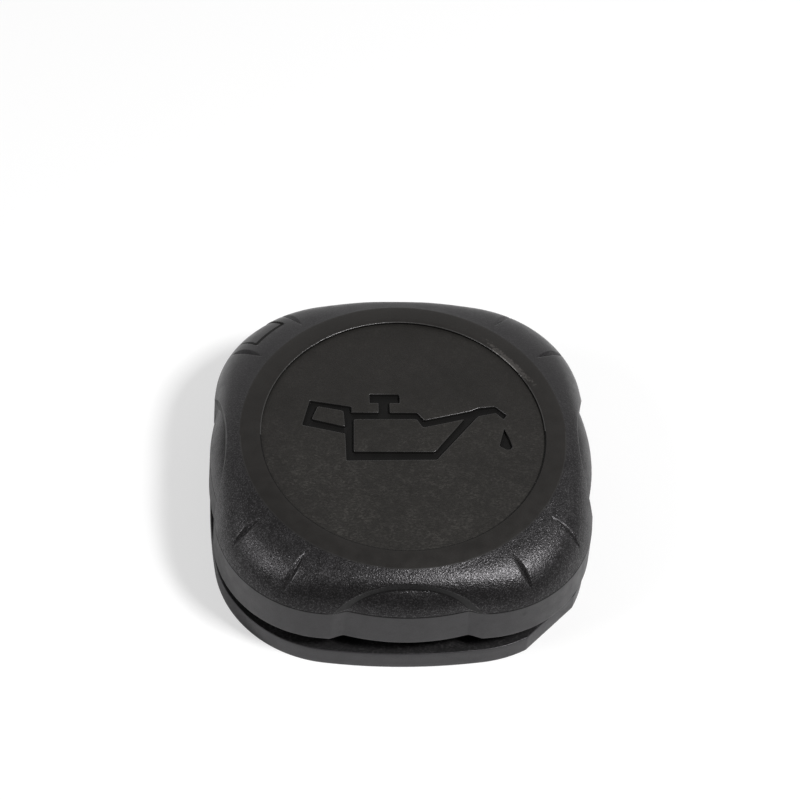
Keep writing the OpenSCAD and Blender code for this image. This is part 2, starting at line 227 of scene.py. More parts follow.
def section(lines, round_at):
    lengths = []
    for _, line, _ in lines:
        pts = np.array([line(t) for t in np.linspace(0, 1, 9)])
        lengths.append(np.sqrt((np.diff(pts, axis=0) ** 2).sum(axis=1)).sum(axis=0))
    rows, zones = [], []
    low = np.zeros_like(lengths[0])
    for k, (zone, line, count) in enumerate(lines):
        length = np.maximum(lengths[k], 1e-9)
        if k < len(lines) - 1:
            back = np.minimum(round_at[k], 0.42 * np.minimum(lengths[k], lengths[k + 1]))
            high = 1 - back / length
        else:
            high = np.ones_like(low)
        for j in range(count + 1):
            x = j / count
            x = x - crowding * math.sin(2 * math.pi * x)
            rows.append(line(low + (high - low) * x))
            zones.append(zone)
        if k < len(lines) - 1:
            ahead = back / np.maximum(lengths[k + 1], 1e-9)
            p0, p1, p2 = (np.array(v) for v in (line(high), line(np.ones_like(low)), lines[k + 1][1](ahead)))
            for t in (0.25, 0.5, 0.75):
                rows.append((1 - t) ** 2 * p0 + 2 * t * (1 - t) * p1 + t * t * p2)
                zones.append(zone + "/" + lines[k + 1][0])
            low = ahead
    return np.array([np.array(row) for row in rows]), zones


rows, zones = section(lines, round_at)
R, Z = rows[:, 0, :], rows[:, 1, :]
TH = np.radians(np.broadcast_to(columns, R.shape))


def shoulder_frame(turn, share):
    rim = float(outline(np.array([turn]), grip_half - draft, grip_side - draft, grip_corner - draft)[0])
    r, z = dome(rim, share, top_z)
    ahead, behind = dome(rim, share + 0.01, top_z), dome(rim, share - 0.01, top_z)
    along = np.array([ahead[0] - behind[0], ahead[1] - behind[1]])
    return r, z, along / np.linalg.norm(along)


# The band is crowned a little and meets the shoulder at a blunt edge. The creases are narrow V cuts with
# pointed ends, and the marking pocket runs out shallow on its outer side, with a painted shade line on the others.
band_fall, slope_fall, crease_soft = 0.25, 0.5, 0.04
pocket_ramp, line_near, line_left, line_right, line_over = 0.15, 0.9, 0.75, 0.3, 0.05
over_band = np.clip((R - disc_r) / (land_r - disc_r), 0, 1)
over_slope = np.clip((R - land_r) / (edge - land_r), 0, 1)
Z = Z - (band_fall * over_band**2 + slope_fall * 4 * over_slope) * (1 - over_slope) ** 3

on_top = np.array([zone.split("/")[0] in ("shoulder", "band", "arch", "lower") for zone in zones])[:, None]
for corner in range(4):
    for sign in (-1, 1):
        turn = 45 + 90 * corner + sign * crease_turn
        r0, z0, along = shoulder_frame(turn, crease_at)
        out = np.array([along[1], -along[0]])
        swing = TH - math.radians(turn)
        lateral = np.sqrt((R * np.sin(swing)) ** 2 + crease_soft**2) - crease_soft
        down = (R * np.cos(swing) - r0) * along[0] + (Z - z0) * along[1]
        depth = crease_d * (1 - (2 * down / crease_l) ** 2) - lateral * 2 * crease_d / crease_w
        depth = np.where(on_top & (np.cos(swing) > 0.9), 0.5 * (depth + np.sqrt(depth**2 + crease_soft**2)), 0)
        depth = np.where(depth < crease_soft / 10, 0, depth)
        R, Z = R - out[0] * depth, Z - out[1] * depth

r0, z0, along = shoulder_frame(pocket_turn, pocket_at)
out = np.array([along[1], -along[0]])
swing = TH - math.radians(pocket_turn)
down, lateral = (R * np.cos(swing) - r0) * along[0] + (Z - z0) * along[1], R * np.sin(swing)
inside = np.minimum(np.minimum(pocket_up - down, pocket_down + down), pocket_w / 2 - np.abs(lateral))
on_corner = on_top & (np.cos(swing) > 0.9)
flat = np.clip(0.2 + 0.8 * (pocket_down + down) / (pocket_down + pocket_up), 0, 1)
drop = pocket_d * flat * np.clip(0.5 + inside / pocket_ramp, 0, 1) * on_corner
mid = int(np.argmin(np.abs(columns - pocket_turn)))
near = pocket_up - down[:, mid:mid + 1] < line_near
at_ends = (pocket_w / 2 - lateral < line_left) | (pocket_w / 2 + lateral < line_right)
pocket_shade_line = on_corner & (inside > -line_over) & (near | at_ends)
R, Z = R - out[0] * drop, Z - out[1] * drop

points = np.stack([R * np.cos(TH), R * np.sin(TH), Z], axis=-1)
count_rows, count_columns = R.shape
verts = [tuple(p) for p in (points.reshape(-1, 3) * MM)]
faces, face_zone = [], []
for j in range(count_rows - 1):
    for i in range(count_columns):
        n = (i + 1) % count_columns
        faces.append((j * count_columns + i, j * count_columns + n,
                      (j + 1) * count_columns + n, (j + 1) * count_columns + i))
        # Faces on the pocket's shade line take the dark sign finish, a painted shade.
        behind = points[j, i, 1] > 0 and "/" in zones[j]
        face_zone.append("sign" if pocket_shade_line[j, i] else zones[j] + " behind" * behind)
verts.append((0, 0, ceiling_z * MM))
for i in range(count_columns):
    n = (i + 1) % count_columns
    faces.append(((count_rows - 1) * count_columns + i, (count_rows - 1) * count_columns + n, len(verts) - 1))
    face_zone.append("ceiling")

# The disc carries the common oil-can sign, sunk with a small radius along its upper edges. The strokes are
# flat-bottomed and one depth, and a flat ring round each keeps the plain disc's shading even.
sign_outer = [
    (-17.27, 7.88), (-9.55, 6.46), (-9.54, 5.09), (-4.39, 5.07), (-4.39, 7.40), (-6.04, 7.40), (-6.04, 9.40),
    (-0.45, 9.38), (-0.44, 7.39), (-2.39, 7.39), (-2.39, 5.06), (2.76, 5.05), (4.12, 3.27), (12.84, 5.47),
    (14.32, 6.19), (17.53, 6.57), (19.58, 4.59), (18.95, 3.68), (17.59, 5.12), (14.37, 4.38), (13.92, 4.03),
    (6.01, -5.79), (-10.71, -6.00), (-10.78, 0.21), (-18.78, 2.19)]
sign_holes = [
    [(-9.18, 3.59), (2.70, 3.62), (3.77, 1.66), (11.61, 3.65), (5.81, -4.03), (-9.37, -4.00)],
    [(-15.85, 6.61), (-11.00, 5.55), (-10.78, 1.79), (-17.06, 3.55)]]
sign_drop = [(18.95, 1.35), (19.74, -0.80), (20.25, -2.84), (19.74, -3.44), (19.04, -3.39), (17.87, -2.59)]


def rounded_loop(loop, radius, steps=3):
    out = []
    for i, corner in enumerate(loop):
        p, q, n = (np.array(v) for v in (loop[i - 1], corner, loop[(i + 1) % len(loop)]))
        a, b = (p - q) / np.linalg.norm(p - q), (n - q) / np.linalg.norm(n - q)
        back = min(radius, 0.4 * np.linalg.norm(p - q), 0.4 * np.linalg.norm(n - q))
        for t in np.linspace(0, 1, steps + 1):
            out.append(tuple((1 - t) ** 2 * (q + a * back) + 2 * t * (1 - t) * q + t * t * (q + b * back)))
    return out


def grown_loop(loop, distance):
    pts = np.array(loop)
    ahead = np.roll(pts, -1, axis=0) - pts
    ahead /= np.linalg.norm(ahead, axis=1)[:, None]
    normal = np.stack([ahead[:, 1], -ahead[:, 0]], axis=1)
    before = np.roll(normal, 1, axis=0)
    mid = normal + before
    mid /= np.clip((mid**2).sum(axis=1), 0.4, None)[:, None] / 2
    return pts + mid * distance


def area(loop):
    p = np.array(loop)
    q = np.roll(p, -1, axis=0)
    return (p[:, 0] * q[:, 1] - q[:, 0] * p[:, 1]).sum() / 2


def within(loop, x, y):
    p = np.array(loop)
    q = np.roll(p, -1, axis=0)
    crosses = (p[:, 1] > y) != (q[:, 1] > y)
    reach = p[:, 0] + (y - p[:, 1]) * (q[:, 0] - p[:, 0]) / np.where(q[:, 1] == p[:, 1], 1, q[:, 1] - p[:, 1])
    return int(np.count_nonzero(crosses & (x < reach))) % 2 == 1


steps = [(0.27, 0.0), (0.16, 0.0), (0.06, 0.04), (0.0, 0.14), (-0.03, 0.60), (-0.10, 0.68)]
stacks = []
for loop, hole in [(sign_outer, False), (sign_drop, False)] + [(h, True) for h in sign_holes]:
    if (area(loop) < 0) != hole:
        loop = loop[::-1]
    stacks.append([rounded_loop(grown_loop(loop, grow), 0.4 if hole else 0.22) for grow, _ in steps])


def filled(outer, inner, keep, z, up):
    flat, edges, start = [], [], 0
    for loop in outer + inner:
        flat += [Vector((x, y)) for x, y in loop]
        edges += [(start + i, start + (i + 1) % len(loop)) for i in range(len(loop))]
        start += len(loop)
    pts, _, tris, _, _, _ = geometry.delaunay_2d_cdt(flat, edges, [], 0, 1e-6)
    base = len(verts)
    verts.extend((p[0] * MM, p[1] * MM, z * MM) for p in pts)
    for tri in tris:
        x, y = sum(pts[i][0] for i in tri) / 3, sum(pts[i][1] for i in tri) / 3
        if keep(x, y):
            turn = sum(pts[tri[i]][0] * pts[tri[(i + 1) % 3]][1] - pts[tri[(i + 1) % 3]][0] * pts[tri[i]][1]
                       for i in range(3))
            order = tri if (turn > 0) == up else tri[::-1]
            faces.append(tuple(base + i for i in order))
            face_zone.append("disc" if z > disc_z - 0.2 else "sign")


disc_rim = [(x, y) for x, y in points[0, :, :2]]
tops = [stack[0] for stack in stacks]
bases = [stack[-1] for stack in stacks]


def in_strokes(level, x, y):
    hits = [within(loop, x, y) for loop in level]
    return (hits[0] and not hits[2] and not hits[3]) or hits[1]


# The disc's top takes the disc finish; the stroke floors below take the dark sign finish, a painted shade.
filled([disc_rim], tops, lambda x, y: math.hypot(x, y) < disc_r and not in_strokes(tops, x, y), disc_z, True)
filled(bases, [], lambda x, y: in_strokes(bases, x, y), disc_z - steps[-1][1], True)
# Each stroke's upper edges take the bright edge finish as a painted highlight, and its walls the dark sign finish
# as painted shade.
for stack in stacks:
    size = len(stack[0])
    base = len(verts)
    for loop, (_, depth) in zip(stack, steps):
        verts.extend((x * MM, y * MM, (disc_z - depth) * MM) for x, y in loop)
    for j in range(len(steps) - 1):
        for i in range(size):
            n = (i + 1) % size
            faces.append((base + j * size + i, base + j * size + n,
                          base + (j + 1) * size + n, base + (j + 1) * size + i))
            face_zone.append(["disc", "sign edge", "sign edge", "sign", "sign"][j])

# Each zone of the tool that moulds the cap has its own finish: spark-eroded grain on the shoulder, a finer
# sand on the disc, a nearly smooth band and satin walls. Handling has dulled and polished it here and there.
# Some finishes and marks also carry painted light: glints on the grain, highlights on edges and the back rim,
# and shade in the sign strokes, the dark lines and a small dent on the wall.


def moulded_plastic(name, tint, rough, grain, depth, fleck=0.0, shine=0.5, streak=False, marks=(),
                    sheen=(1.0, 0.985, 1.0), painted_glints=0.0):
    mat = bpy.data.materials.new(name)
    mat.use_nodes = True
    nodes, link = mat.node_tree.nodes, mat.node_tree.links.new
    bsdf = nodes["Principled BSDF"]
    bsdf.inputs["Specular IOR Level"].default_value = shine
    bsdf.inputs["Specular Tint"].default_value = (*sheen, 1)
    bsdf.inputs["IOR"].default_value = 1.5
    place = nodes.new("ShaderNodeTexCoord").outputs["Object"]

    def noise(size_mm, detail, rough=0.5, vector=place):
        tex = nodes.new("ShaderNodeTexNoise")
        tex.inputs["Scale"].default_value = 1 / (size_mm * MM)
        tex.inputs["Detail"].default_value = detail
        tex.inputs["Roughness"].default_value = rough
        link(vector, tex.inputs["Vector"])
        return tex.outputs["Fac"]

    def grit(size_mm):
        tex = nodes.new("ShaderNodeTexVoronoi")
        tex.inputs["Scale"].default_value = 1 / (size_mm * MM)
        link(place, tex.inputs["Vector"])
        parts = nodes.new("ShaderNodeSeparateColor")
        link(tex.outputs["Color"], parts.inputs[0])
        return parts.outputs[0]

    def ranged(value, low, high, to_low, to_high):
        node = nodes.new("ShaderNodeMapRange")
        link(value, node.inputs["Value"])
        for socket, number in (("From Min", low), ("From Max", high), ("To Min", to_low), ("To Max", to_high)):
            node.inputs[socket].default_value = number
        return node.outputs["Result"]

    def maths(kind, a, b):
        node = nodes.new("ShaderNodeMath")
        node.operation = kind
        for socket, value in zip(node.inputs, (a, b)):
            if isinstance(value, (int, float)):
                socket.default_value = value
            else:
                link(value, socket)
        return node.outputs[0]

    pits = noise(grain, 2.0, 0.6)
    clouds = noise(9.0, 3.0)
    patches = noise(2.2, 2.0)
    height = pits
    if streak:
        squeeze = nodes.new("ShaderNodeMapping")
        squeeze.inputs["Scale"].default_value = (1.0, 1.0, 0.12)
        link(place, squeeze.inputs["Vector"])
        height = maths("ADD", maths("MULTIPLY", noise(0.5, 2.0, 0.5, squeeze.outputs[0]), 0.35), pits)
    bump = nodes.new("ShaderNodeBump")
    bump.inputs["Strength"].default_value = 1.0
    bump.inputs["Distance"].default_value = depth * MM
    link(height, bump.inputs["Height"])
    link(bump.outputs["Normal"], bsdf.inputs["Normal"])

    split = nodes.new("ShaderNodeSeparateXYZ")
    link(place, split.inputs[0])
    if painted_glints:
        link(ranged(split.outputs["Y"], 0.020, -0.010, 0.25, 1.0), bump.inputs["Strength"])
    level = maths("MULTIPLY", ranged(clouds, 0.3, 0.7, 0.86, 1.14), ranged(pits, 0.25, 0.75, 0.75, 1.25))
    # Painted glints: random grain cells lighten the colour up to 2.5 times and raise the reflection, most toward
    # the front where the main light falls.
    if painted_glints:
        facet = maths("POWER", grit(0.18), 3.0)
        lit = ranged(split.outputs["Y"], 0.012, -0.016, 0.2 * painted_glints, painted_glints)
        painted_glint_cells = maths("MULTIPLY", maths("SUBTRACT", facet, 0.25), lit)
        link(ranged(painted_glint_cells, -0.25, 0.75, shine * 0.4, shine * 2.8), bsdf.inputs["Specular IOR Level"])
        level = maths("MULTIPLY", level, ranged(painted_glint_cells, -0.25, 0.75, 0.5, 2.5))
    if fleck:
        wide = nodes.new("ShaderNodeMapping")
        wide.inputs["Scale"].default_value = (0.6, 1.0, 1.0)
        link(place, wide.inputs["Vector"])
        spot = ranged(noise(0.27, 1.0, 0.5, wide.outputs[0]), 0.42, 0.74, 0.0, 1.0)
        rare = ranged(noise(1.3, 2.0), 0.38, 0.60, 0.35, 1.0)
        # Flecks are stronger toward the front and in patches.
        toward_front = ranged(split.outputs["Y"], 0.010, -0.010, 0.2, 1.0)
        front_patches = maths("MULTIPLY", toward_front, ranged(clouds, 0.3, 0.6, 0.5, 1.2))
        spots = maths("MULTIPLY", maths("MULTIPLY", spot, rare), maths("MULTIPLY", front_patches, fleck))
        level = maths("ADD", level, spots)
    for centre, turn, reach, amount in marks:
        patch = nodes.new("ShaderNodeMapping")
        patch.vector_type = "TEXTURE"
        patch.inputs["Location"].default_value = [c * MM for c in centre]
        patch.inputs["Rotation"].default_value = (0, 0, math.radians(turn))
        patch.inputs["Scale"].default_value = [c * MM for c in reach]
        link(place, patch.inputs["Vector"])
        far = nodes.new("ShaderNodeVectorMath")
        far.operation = "LENGTH"
        link(patch.outputs[0], far.inputs[0])
        ragged = maths("ADD", far.outputs["Value"], ranged(noise(0.45, 3.0, 0.7), 0.35, 0.65, -0.5, 0.5))
        level = maths("ADD", level, ranged(ragged, 0.6, 1.0, amount, 0.0))
    paint = nodes.new("ShaderNodeMix")
    paint.data_type = "RGBA"
    paint.blend_type = "MULTIPLY"
    paint.inputs["Factor"].default_value = 1.0
    colour_a, colour_b, colour_out = paint.inputs[6], paint.inputs[7], paint.outputs[2]
    colour_a.default_value = (*tint, 1)
    grey = nodes.new("ShaderNodeCombineColor")
    for socket in grey.inputs[:3]:
        link(level, socket)
    link(grey.outputs[0], colour_b)
    link(colour_out, bsdf.inputs["Base Color"])
    link(maths("ADD", ranged(patches, 0.3, 0.7, rough - 0.05, rough + 0.05), ranged(pits, 0.3, 0.7, 0.03, -0.03)),
         bsdf.inputs["Roughness"])
    return mat


warm, cool = (1.0, 0.955, 0.915), (0.99, 0.965, 1.0)
scratch = ((12.5, -30.6, 23.5), -68, (0.7, 0.14, 0.5), 2.5)
rim_scuff = ((20.9, 16.8, 24.4), 129, (6.5, 0.7, 1.0), 3.0)
# A small dent on the wall is painted, not modelled: a darker spot for its shade and a lighter strip below for its
# highlight.
gate_dent_painted_shade = ((21.3, -33.8, 14.5), 32, (0.6, 0.5, 0.6), -0.75)
gate_dent_painted_highlight = ((21.6, -33.6, 13.5), 32, (0.7, 0.5, 0.16), 0.9)
grip_finishes = {
    "disc": moulded_plastic("grip disc, sanded", (0.0104, 0.0098, 0.0090), 0.52, 0.22, 0.030,
                            fleck=2.3, sheen=warm, shine=0.42),
    "band": moulded_plastic("grip band, smooth", (0.0118, 0.0110, 0.0104), 0.44, 0.30, 0.006,
                            sheen=warm, shine=0.46, marks=[rim_scuff]),
    "shoulder": moulded_plastic("grip shoulder, grained", (0.0120, 0.0114, 0.0116), 0.35, 0.30, 0.085,
                                sheen=cool, shine=0.58, painted_glints=0.55, marks=[scratch]),
    "wall": moulded_plastic("grip wall, satin", (0.0160, 0.0152, 0.0159), 0.40, 0.26, 0.012,
                            streak=True, sheen=cool, shine=0.55, marks=[gate_dent_painted_shade, gate_dent_painted_highlight]),
    # The sign finish is much darker than the rest as painted shade: in the strokes, round the disc's recess, above
    # the wall and round the pocket.
    "sign": moulded_plastic("grip sign and dark lines, smooth, painted shade", (0.0042, 0.0040, 0.0037), 0.60, 0.22, 0.010, shine=0.2),
    # The edge finish is lighter than the band and shoulder as a painted highlight on the front band edge and the
    # sign's upper edges.
    "edge": moulded_plastic("grip edges, painted highlight", (0.0200, 0.0190, 0.0180), 0.32, 0.26, 0.006, shine=0.6),
    # The rim finish brightens the band's inner edge at the back as a painted highlight, with real scuffs on it.
    "rim": moulded_plastic("grip back rim, painted highlight and scuffs", (0.0330, 0.0315, 0.0300), 0.32, 0.30, 0.050,
                           shine=0.9, marks=[rim_scuff]),
    "arch": moulded_plastic("grip scallop face, smooth", (0.0080, 0.0078, 0.0077), 0.42, 0.26, 0.008,
                            shine=0.22),
}
# The edge between shoulder and wall and the disc's recess wall take the dark sign finish as painted shade lines;
# the front band edge takes the edge finish and the band's back inner edge the rim finish, both painted highlights.
finish_of = {"shoulder": "shoulder", "arch": "arch", "lower": "shoulder", "arch/lower": "arch",
             "shoulder/arch": "shoulder", "disc": "disc", "sign": "sign", "sign edge": "edge", "band": "band",
             "band/shoulder": "edge", "band/shoulder behind": "band", "shoulder/arch behind": "shoulder",
             "arch/lower behind": "arch", "lower/wall": "sign", "disc wall": "sign", "disc wall/band": "sign",
             "disc wall/band behind": "rim"}
order = list(grip_finishes)

mesh = bpy.data.meshes.new("grip outside")
mesh.from_pydata(verts, [], faces)
mesh.polygons.foreach_set("material_index", [order.index(finish_of.get(zone, "wall")) for zone in face_zone])

# Inside, a collar with four snap windows and four key slots hangs from the ceiling, with eight ribs out to
# the wall and three webs that seat on the carrier. One of each is made, and a node tree turns it into a set.
collar_in, collar_out, collar_low, rib_t = 27.15, 28.95, rim_z + 1.0, 1.6
snap_z, snap_h, snap_w, key_w, snap_clear = rim_z + 4.0, 3.0, 9.0, 3.0, 0.15
seat_z, inside_top = 19.3, 22.5


def block(name, verts, faces, soften=0.15):
    bm = bmesh.new()
    made = [bm.verts.new([c * MM for c in v]) for v in verts]
    for face in faces:
        bm.faces.new([made[i] for i in face])
    bmesh.ops.recalc_face_normals(bm, faces=bm.faces)
    bent = [e for e in bm.edges if e.is_manifold and e.calc_face_angle() > 0.6]
    bmesh.ops.bevel(bm, geom=bent, offset=soften * MM, segments=1, affect="EDGES", clamp_overlap=True)
    mesh = bpy.data.meshes.new(name)
    bm.to_mesh(mesh)
    bm.free()
    return mesh


def prism(name, profile, width):
    n = len(profile)
    ends = [(r, side * width / 2, z) for side in (-1, 1) for r, z in profile]
    sides = [(i, (i + 1) % n, n + (i + 1) % n, n + i) for i in range(n)]
    return block(name, ends, [tuple(range(n)), tuple(range(2 * n - 1, n - 1, -1))] + sides)


def curved_wall(name, in_r, out_r, angles, heights, is_solid):
    high = len(heights)
    turns = [math.radians(a) for a in angles]
    grid = [(r * math.cos(a), r * math.sin(a), z) for r in (in_r, out_r) for a in turns for z in heights]
    cells = {(i, j) for i in range(len(angles) - 1) for j in range(high - 1)
             if is_solid((angles[i] + angles[i + 1]) / 2, (heights[j] + heights[j + 1]) / 2)}
    faces = []
    for i, j in sorted(cells):
        ring_of = [(i, j), (i + 1, j), (i + 1, j + 1), (i, j + 1)]
        for k in (0, 1):
            faces.append(tuple((k * len(angles) + a) * high + z for a, z in ring_of))
        beside_by_edge = {(0, 3): (i - 1, j), (1, 2): (i + 1, j), (0, 1): (i, j - 1), (3, 2): (i, j + 1)}
        for (p, q), beside in beside_by_edge.items():
            if beside not in cells and 0 <= beside[0] < len(angles) - 1:
                (a, z), (b, y) = ring_of[p], ring_of[q]
                faces.append((a * high + z, b * high + y,
                              (len(angles) + b) * high + y, (len(angles) + a) * high + z))
    return block(name, grid, faces, 0.1)


turned_copies = bpy.data.node_groups.new("turned copies", "GeometryNodeTree")
for socket, kind in (("Geometry", "Geometry"), ("Count", "Int"), ("First Turn", "Float"), ("Step", "Float"),
                     ("Material", "Material")):
    turned_copies.interface.new_socket(socket, in_out="INPUT", socket_type="NodeSocket" + kind)
turned_copies.interface.new_socket("Geometry", in_out="OUTPUT", socket_type="NodeSocketGeometry")
nodes, link = turned_copies.nodes, turned_copies.links.new
given, result = nodes.new("NodeGroupInput"), nodes.new("NodeGroupOutput")
line = nodes.new("GeometryNodeMeshLine")
line.inputs["Offset"].default_value = (0, 0, 0)
link(given.outputs["Count"], line.inputs["Count"])
turn = nodes.new("ShaderNodeMath")
turn.operation = "MULTIPLY_ADD"
link(nodes.new("GeometryNodeInputIndex").outputs[0], turn.inputs[0])
link(given.outputs["Step"], turn.inputs[1])
link(given.outputs["First Turn"], turn.inputs[2])
spin = nodes.new("ShaderNodeCombineXYZ")
link(turn.outputs[0], spin.inputs["Z"])
place = nodes.new("GeometryNodeInstanceOnPoints")
link(line.outputs["Mesh"], place.inputs["Points"])
link(given.outputs["Geometry"], place.inputs["Instance"])
link(spin.outputs[0], place.inputs["Rotation"])
real = nodes.new("GeometryNodeRealizeInstances")
link(place.outputs["Instances"], real.inputs["Geometry"])
dress = nodes.new("GeometryNodeSetMaterial")
link(real.outputs["Geometry"], dress.inputs["Geometry"])
link(given.outputs["Material"], dress.inputs["Material"])
link(dress.outputs["Geometry"], result.inputs["Geometry"])


def turned(mesh, count, first, step, material, slot):
    obj = bpy.data.objects.new(mesh.name, mesh)
    bpy.context.collection.objects.link(obj)
    mod = obj.modifiers.new("turned copies", "NODES")
    mod.node_group = turned_copies
    values = {"Count": count, "First Turn": math.radians(first), "Step": math.radians(step), "Material": material}
    for item in turned_copies.interface.items_tree:
        if item.in_out == "INPUT" and item.name in values:
            mod[item.identifier] = values[item.name]
    copies = bpy.data.meshes.new_from_object(obj.evaluated_get(bpy.context.evaluated_depsgraph_get()))
    bpy.data.objects.remove(obj)
    copies.polygons.foreach_set("material_index", [slot] * len(copies.polygons))
    return copies


def moulding(name, meshes, finishes, weld=2e-6, sliver=1e-7, sharp=math.radians(38)):
    bm = bmesh.new()
    for mesh in meshes:
        bm.from_mesh(mesh)
    bmesh.ops.remove_doubles(bm, verts=bm.verts, dist=weld)
    bmesh.ops.dissolve_degenerate(bm, dist=sliver, edges=bm.edges)
    bmesh.ops.recalc_face_normals(bm, faces=bm.faces)
    for face in bm.faces:
        face.smooth = True
    whole = bpy.data.meshes.new(name)
    bm.to_mesh(whole)
    bm.free()
    for finish in finishes:
        whole.materials.append(finish)
    whole.set_sharp_from_angle(angle=sharp)
    obj = bpy.data.objects.new(name, whole)
    bpy.context.collection.objects.link(obj)
    return obj


window = math.degrees((snap_w / 2 + snap_clear) / collar_in)
slot_edge = 45 - math.degrees((key_w / 2 + snap_clear) / collar_in)
angles = [-45, -slot_edge, *np.linspace(-slot_edge, -window, 7)[1:], *np.linspace(-window, window, 7)[1:],
          *np.linspace(window, slot_edge, 7)[1:], 45]
heights = [collar_low, snap_z - snap_clear, snap_z + snap_h, snap_z + snap_h + snap_clear, inside_top]


def collar_solid(a, z):
    in_window = abs(a) < window and heights[1] < z < heights[3]
    return not (in_window or (abs(a) > slot_edge and z < heights[2]))


wall_slot, wall_finish = order.index("wall"), grip_finishes["wall"]
rib_turn, rib_in, rib_low, web_half, into = 22.5, 27.9, rim_z + 2.0, 28.05, shell / 2
at_rib = int(np.argmin(np.abs(columns - rib_turn)))
under = [tuple(v[at_rib] for v in ceiling_line(t)) for t in (0, 0.25, 0.5, 0.75, 1)]
rib_profile = [(rib_in, rib_low), (under[0][0] + into, rib_low)]
rib_profile += [(r + into, z + into * k / 4) for k, (r, z) in enumerate(under)]
rib_profile += [(rib_in, under[-1][1] + into)]
web_profile = [(-web_half, seat_z), (web_half, seat_z), (web_half, inside_top), (-web_half, inside_top)]
collar = curved_wall("grip collar", collar_in, collar_out, angles, heights, collar_solid)
grip = moulding("grip_moulding", [
    mesh,
    turned(collar, 4, 45, 90, wall_finish, wall_slot),
    turned(prism("grip rib", rib_profile, rib_t), 8, rib_turn, 45, wall_finish, wall_slot),
    turned(prism("grip seat web", web_profile, rib_t), 3, 0, 60, wall_finish, wall_slot)], grip_finishes.values())
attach(grip, "root")
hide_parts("grip")

# The carrier is the second moulding: a flat plate with one corner cut, and the closed socket that stands
# on it inside the grip. Its plate shows below the grip across a dark open gap, where the plate's top is
# coloured dark as painted shade.
plate_half, plate_corner, plate_side, plate_t, plate_skin, plate_rim = 35.95, 23.5, 110.0, 4.4, 1.6, 2.2
flat_w, flat_turn = 13.2, -45.0
sleeve_r, mouth_r, chamber_r, mouth_h, crown_z = 27.0, 25.0, 24.4, 5.0, 17.3
plate_columns = np.sort(np.concatenate([np.arange(0, 360, 1.0), 315 - np.linspace(9.0, 10.4, 10),
                                        315 + np.linspace(9.0, 10.4, 10)]))
plate_columns = plate_columns[np.append(np.diff(plate_columns) > 0.06, True)]


def plate_edge(inset):
    k = plate_side - plate_half
    c = (math.sqrt(2 * (plate_side - plate_corner) ** 2 - k * k) - k) / 2
    cut = c * math.sqrt(2) + math.sqrt(plate_corner**2 - (flat_w / 2) ** 2) - inset
    free = outline(plate_columns, plate_half - inset, plate_side - inset, plate_corner - inset)
    swing = np.radians(plate_columns - flat_turn)
    flat = np.where(np.cos(swing) > 0.5, cut / np.clip(np.cos(swing), 0.5, 1), 1000.0)
    return soft_min(free, flat, 0.06)


def ring(r, z):
    return (np.full(len(plate_columns), float(r)) if np.isscalar(r) else r), np.full(len(plate_columns), float(z))


core_z, outer, inner, lead_in = plate_t - plate_skin, plate_edge(0), plate_edge(plate_rim), 0.6
corners = [ring(0.5, seat_z), ring(sleeve_r, seat_z), ring(sleeve_r, plate_t), ring(outer, plate_t),
           ring(outer, 0), ring(inner, 0), ring(inner, core_z), ring(sleeve_r, core_z), ring(sleeve_r, 0),
           ring(mouth_r + lead_in, 0), ring(mouth_r, lead_in), ring(mouth_r, mouth_h),
           ring(chamber_r, mouth_h), ring(chamber_r, crown_z), ring(0.5, crown_z)]
counts = [2, 2, 5, 3, 1, 1, 2, 1, 1, 1, 2, 1, 2, 2]
names = ["inside", "inside", "plate top", "plate side"] + ["inside"] * 10
plate_lines = [(name, straight(p, q), n) for name, p, q, n in zip(names, corners, corners[1:], counts)]
rows, zones = section(plate_lines, [0.3, 0.4, 0.22, 0.2, 0.15, 0.3, 0.3, 0.15, 0.1, 0.1, 0.1, 0.1, 0.3])
R, Z = rows[:, 0, :], rows[:, 1, :]
TH = np.radians(np.broadcast_to(plate_columns, R.shape))
points = np.stack([R * np.cos(TH), R * np.sin(TH), Z], axis=-1)
count_rows, count_columns = R.shape
verts = [tuple(p) for p in (points.reshape(-1, 3) * MM)]
faces, face_zone = [], []
for j in range(count_rows - 1):
    for i in range(count_columns):
        n = (i + 1) % count_columns
        faces.append((j * count_columns + i, (j + 1) * count_columns + i,
                      (j + 1) * count_columns + n, j * count_columns + n))
        face_zone.append(zones[j])
for j, z in ((0, seat_z), (count_rows - 1, crown_z)):
    verts.append((0, 0, z * MM))
    for i in range(count_columns):
        n = (i + 1) % count_columns
        faces.append((j * count_columns + i, j * count_columns + n, len(verts) - 1))
        face_zone.append("inside")

carrier_finishes = {
    "side": moulded_plastic("carrier side, satin", (0.0190, 0.0182, 0.0196), 0.40, 0.26, 0.012,
                            streak=True, sheen=cool, shine=0.58),
    # The plate's top is much darker than its side as painted shade under the grip.
    "top": moulded_plastic("carrier top, grained, painted shade", (0.0055, 0.0053, 0.0055), 0.60, 0.30, 0.040,
                           fleck=4.0, shine=0.25),
}
mesh = bpy.data.meshes.new("carrier outside")
mesh.from_pydata(verts, [], faces)
mesh.polygons.foreach_set("material_index", [1 if zone == "plate top" else 0 for zone in face_zone])

# Twelve ribs stiffen the plate's underside. Four wedges and four keys on the socket hold the grip, and inside
# it are three ramped bayonet lugs with stops and a short spigot whose lip keeps the sealing ring in place.
snap_out, lug_r, lug_span, lug_h, lug_slope, stop_h, stop_w = 1.1, 21.5, 40.0, 3.4, 4.0, 3.0, 2.2
root_r = (chamber_r + mouth_r) / 2
stop_y = chamber_r * math.sin(math.radians(lug_span / 2)) - stop_w


